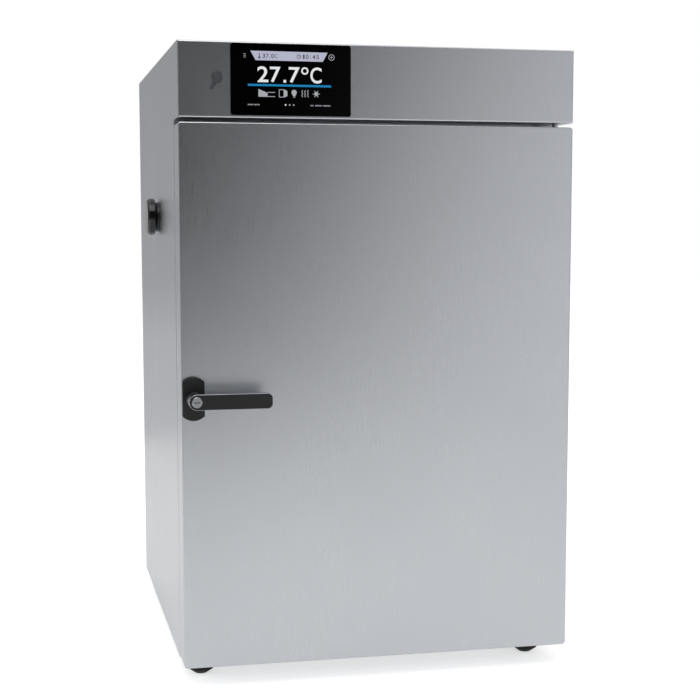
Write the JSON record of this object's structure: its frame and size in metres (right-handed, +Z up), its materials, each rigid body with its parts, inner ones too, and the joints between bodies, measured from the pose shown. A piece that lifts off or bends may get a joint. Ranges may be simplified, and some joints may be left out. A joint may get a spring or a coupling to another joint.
{
  "type": "laboratory incubator",
  "caption": "Cabinet incubator on feet with a hinged full-height door, lever handle, touch display fascia, side access port and slide-out wire shelves.",
  "frame": {"origin": "on the floor, in the middle of the footprint that takes in the port's knob, the lever and the rear fittings", "axes": "+X to the right seen from the front, +Y to the rear, +Z up"},
  "size_m": [0.671, 0.801, 1.033],
  "materials": {
    "stainless_outer": "satin",
    "stainless_inner": "satin",
    "galvanised_steel": "satin",
    "mineral_wool": "matte",
    "black_plastic": "gloss",
    "black_matte_plastic": "matte",
    "grey_rubber": "matte",
    "black_rubber": "matte",
    "satin_chrome": "satin",
    "zinc_steel": "satin",
    "steel_wire": "polished",
    "display_black": "gloss",
    "circuit_green": "matte",
    "aluminium": "satin",
    "copper": "satin",
    "white_plastic": "satin",
    "grey_plastic": "satin"
  },
  "bodies": {
    "cabinet": {"left_side_panel": "stainless_outer", "right_side_panel": "stainless_outer", "top_panel": "stainless_outer", "rear_panel": "stainless_outer", "base_pan": "galvanised_steel", "front_frame": "stainless_outer", "inner_chamber": "stainless_inner", "side_insulation": "mineral_wool", "insulation": "mineral_wool", "shelf_uprights": "stainless_inner", "shelf_runners": "stainless_inner", "air_baffle": "stainless_inner", "fan_motor": "zinc_steel", "heater": "zinc_steel", "evaporator": "aluminium", "temperature_probe": "satin_chrome", "chamber_lamp": "white_plastic", "drain_tube": "white_plastic", "fascia_panel": "stainless_outer", "display_glass": "display_black", "display_module": "black_matte_plastic", "data_socket": "zinc_steel", "control_board": "circuit_green", "power_supply": "aluminium", "port_sleeve": "grey_plastic", "port_flange": "black_matte_plastic", "compressor": "black_matte_plastic", "condenser": "aluminium", "condenser_fan_frame": "black_matte_plastic", "refrigerant_pipes": "copper", "mains_inlet": "black_matte_plastic", "hinge_brackets": "zinc_steel", "hinge_pins": "zinc_steel", "latch_keeper": "zinc_steel", "door_switch": "black_matte_plastic"},
    "door": {"door_skin": "stainless_outer", "door_liner": "stainless_inner", "door_insulation": "mineral_wool", "door_gasket": "grey_rubber", "hinge_bushes": "black_matte_plastic", "handle_escutcheon": "black_matte_plastic", "spindle_bush": "black_matte_plastic"},
    "handle": {"lever": "satin_chrome", "lever_inlay": "black_matte_plastic", "handle_spindle": "satin_chrome", "latch_cam": "zinc_steel"},
    "lock": {"lock_cylinder": "satin_chrome"},
    "port_stopper": {"port_plug": "black_plastic"},
    "cap": {"data_cap": "grey_plastic"},
    "lower_shelf": {"shelf_1": "steel_wire"},
    "middle_shelf": {"shelf_2": "steel_wire"},
    "upper_shelf": {"shelf_3": "steel_wire"},
    "chamber_fan": {"fan_wheel": "aluminium", "fan_shaft": "zinc_steel"},
    "cooling_fan": {"condenser_fan_wheel": "black_matte_plastic"},
    "rocker": {"mains_rocker": "black_plastic"},
    "front_left_foot": {"foot_1": "black_rubber"},
    "front_right_foot": {"foot_2": "black_rubber"},
    "rear_left_foot": {"foot_3": "black_rubber"},
    "rear_right_foot": {"foot_4": "black_rubber"}
  },
  "joints": [
    {"name": "door_swing", "type": "hinge", "parent": "cabinet", "child": "door", "pos_m": [0.3135, -0.31, 0.036], "axis": [0, 0, 1], "range_deg": [0, 120]},
    {"name": "handle_turn", "type": "hinge", "parent": "door", "child": "handle", "pos_m": [-0.2957, -0.34, 0.4746], "axis": [0, 1, 0], "range_deg": [0, 90]},
    {"name": "lock_turn", "type": "hinge", "parent": "handle", "child": "lock", "pos_m": [-0.2957, -0.34, 0.4746], "axis": [0, 1, 0], "range_deg": [0, 90]},
    {"name": "port_plug_pull", "type": "slide", "parent": "cabinet", "child": "port_stopper", "axis": [-1, 0, 0], "range_m": [0, 0.045]},
    {"name": "data_cap_pull", "type": "slide", "parent": "cabinet", "child": "cap", "axis": [0, -1, 0], "range_m": [0, 0.015]},
    {"name": "chamber_fan_spin", "type": "hinge", "parent": "cabinet", "child": "chamber_fan", "pos_m": [0.0105, 0.193, 0.601], "axis": [0, 1, 0], "continuous": true},
    {"name": "cooling_fan_spin", "type": "hinge", "parent": "cabinet", "child": "cooling_fan", "pos_m": [-0.0795, 0.319, 0.146], "axis": [0, 1, 0], "continuous": true},
    {"name": "rocker_tip", "type": "hinge", "parent": "cabinet", "child": "rocker", "pos_m": [0.2455, 0.3933, 0.21], "axis": [1, 0, 0], "range_deg": [-16, 0]},
    {"name": "lower_shelf_slide", "type": "slide", "parent": "cabinet", "child": "lower_shelf", "axis": [0, -1, 0], "range_m": [0, 0.18]},
    {"name": "middle_shelf_slide", "type": "slide", "parent": "cabinet", "child": "middle_shelf", "axis": [0, -1, 0], "range_m": [0, 0.18]},
    {"name": "upper_shelf_slide", "type": "slide", "parent": "cabinet", "child": "upper_shelf", "axis": [0, -1, 0], "range_m": [0, 0.18]},
    {"name": "front_left_foot_turn", "type": "hinge", "parent": "cabinet", "child": "front_left_foot", "pos_m": [-0.2765, -0.24, 0], "axis": [0, 0, 1], "continuous": true},
    {"name": "front_right_foot_turn", "type": "hinge", "parent": "cabinet", "child": "front_right_foot", "pos_m": [0.2975, -0.24, 0], "axis": [0, 0, 1], "continuous": true},
    {"name": "rear_left_foot_turn", "type": "hinge", "parent": "cabinet", "child": "rear_left_foot", "pos_m": [-0.2765, 0.295, 0], "axis": [0, 0, 1], "continuous": true},
    {"name": "rear_right_foot_turn", "type": "hinge", "parent": "cabinet", "child": "rear_right_foot", "pos_m": [0.2975, 0.295, 0], "axis": [0, 0, 1], "continuous": true}
  ],
  "couplings": [
    {"joint": "lower_shelf_slide", "follows": "door_swing", "m_per_rad": 0.08593},
    {"joint": "middle_shelf_slide", "follows": "door_swing", "m_per_rad": 0.08593},
    {"joint": "upper_shelf_slide", "follows": "door_swing", "m_per_rad": 0.08593}
  ]
}
